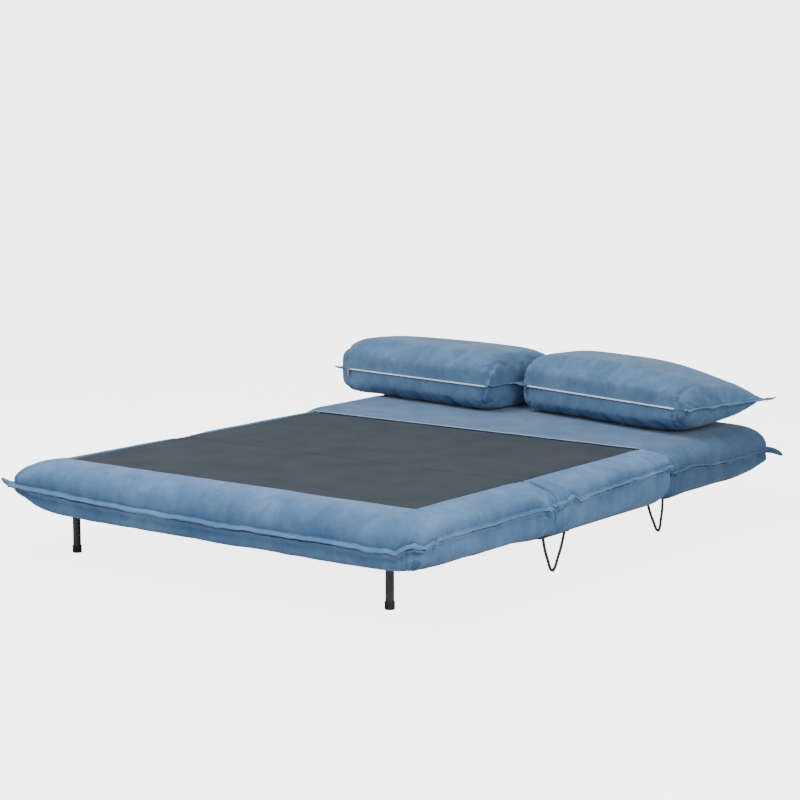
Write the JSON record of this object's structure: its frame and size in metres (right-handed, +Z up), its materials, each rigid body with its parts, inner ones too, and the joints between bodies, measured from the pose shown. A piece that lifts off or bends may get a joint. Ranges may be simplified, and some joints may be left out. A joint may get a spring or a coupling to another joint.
{
  "type": "futon sofa bed",
  "caption": "Low folding sofa bed laid flat: padded foot, middle and head sections, fold-over foot, ratcheted backrest, folding post legs, hairpin legs, loose zipped pillows.",
  "frame": {"origin": "on the floor, under the middle of the bounding box of the bed laid flat with its pillows", "axes": "+Z up, +Y from the foot end towards the head end, +X to the right when looking from foot to head"},
  "size_m": [1.482, 1.9483, 0.455],
  "materials": {
    "velvet": "matte",
    "lining": "matte",
    "foam": "matte",
    "black_steel": "satin",
    "zinc": "satin",
    "pine": "satin",
    "rubber": "matte",
    "zip_tape": "satin"
  },
  "bodies": {
    "middle_section": {"middle_cover": "velvet", "middle_panel": "lining", "middle_foam": "foam", "middle_frame": "black_steel", "middle_slat_1": "pine", "middle_slat_2": "pine", "middle_slat_3": "pine", "middle_hinge_leaf_left": "zinc", "ratchet_base_left": "zinc", "front_hairpin_leg_left": "black_steel", "rear_hairpin_leg_left": "black_steel", "middle_hinge_leaf_right": "zinc", "ratchet_base_right": "zinc", "front_hairpin_leg_right": "black_steel", "rear_hairpin_leg_right": "black_steel"},
    "fold_link": {"fold_link_left": "zinc", "foot_link_pin_left": "zinc", "middle_link_pin_left": "zinc", "fold_link_right": "zinc", "foot_link_pin_right": "zinc", "middle_link_pin_right": "zinc"},
    "foot_section": {"foot_cover": "velvet", "foot_panel": "lining", "foot_upper_foam": "foam", "foot_lower_foam": "foam", "foot_frame": "black_steel", "foot_slat_1": "pine", "foot_slat_2": "pine", "foot_slat_3": "pine", "foot_hinge_leaf_left": "zinc", "leg_bracket_left": "black_steel", "leg_pin_left": "zinc", "foot_hinge_leaf_right": "zinc", "leg_bracket_right": "black_steel", "leg_pin_right": "zinc"},
    "backrest": {"head_cover": "velvet", "head_foam": "foam", "head_frame": "black_steel", "head_slat_1": "pine", "head_slat_2": "pine", "head_slat_3": "pine", "ratchet_arm_left": "zinc", "pivot_bolt_left": "zinc", "ratchet_arm_right": "zinc", "pivot_bolt_right": "zinc"},
    "post_leg_left": {"post_leg_left": "black_steel", "foot_cap_left": "rubber"},
    "post_leg_right": {"post_leg_right": "black_steel", "foot_cap_right": "rubber"},
    "ratchet_pawl_left": {"ratchet_pawl_left": "zinc"},
    "ratchet_pawl_right": {"ratchet_pawl_right": "zinc"},
    "pillow_left": {"pillow_cover_left": "velvet", "pillow_fill_left": "foam", "pillow_zip_left": "zip_tape"},
    "pillow_right": {"pillow_cover_right": "velvet", "pillow_fill_right": "foam", "pillow_zip_right": "zip_tape"},
    "zip_slider_left": {"zip_slider_left": "zinc"},
    "zip_slider_right": {"zip_slider_right": "zinc"}
  },
  "joints": [
    {"name": "foot_fold", "type": "hinge", "parent": "fold_link", "child": "foot_section", "pos_m": [0.028, -0.363, 0.245], "axis": [-1, 0, 0], "range_deg": [0, 90]},
    {"name": "link_fold", "type": "hinge", "parent": "middle_section", "child": "fold_link", "pos_m": [0.028, -0.343, 0.245], "axis": [-1, 0, 0], "range_deg": [0, 90]},
    {"name": "backrest_tilt", "type": "hinge", "parent": "middle_section", "child": "backrest", "pos_m": [0.028, 0.27, 0.243], "axis": [1, 0, 0], "range_deg": [0, 78]},
    {"name": "post_leg_fold_left", "type": "hinge", "parent": "foot_section", "child": "post_leg_left", "pos_m": [-0.512, -0.852, 0.122], "axis": [1, 0, 0], "range_deg": [0, 90]},
    {"name": "pawl_turn_left", "type": "hinge", "parent": "middle_section", "child": "ratchet_pawl_left", "pos_m": [-0.5493, 0.239, 0.213], "axis": [1, 0, 0], "range_deg": [0, 7]},
    {"name": "pillow_lift_left", "type": "slide", "parent": "backrest", "child": "pillow_left", "axis": [0, 0, 1], "range_m": [0, 0.25]},
    {"name": "zip_run_left", "type": "slide", "parent": "pillow_left", "child": "zip_slider_left", "axis": [0.9914, -0.1305, 0], "range_m": [0, 0.59]},
    {"name": "post_leg_fold_right", "type": "hinge", "parent": "foot_section", "child": "post_leg_right", "pos_m": [0.568, -0.852, 0.122], "axis": [1, 0, 0], "range_deg": [0, 90]},
    {"name": "pawl_turn_right", "type": "hinge", "parent": "middle_section", "child": "ratchet_pawl_right", "pos_m": [0.6053, 0.239, 0.213], "axis": [1, 0, 0], "range_deg": [0, 7]},
    {"name": "pillow_lift_right", "type": "slide", "parent": "backrest", "child": "pillow_right", "axis": [0, 0, 1], "range_m": [0, 0.25]},
    {"name": "zip_run_right", "type": "slide", "parent": "pillow_right", "child": "zip_slider_right", "axis": [0.9724, -0.2334, 0], "range_m": [0, 0.61]}
  ],
  "couplings": [
    {"joint": "link_fold", "follows": "foot_fold", "ratio": 1}
  ]
}
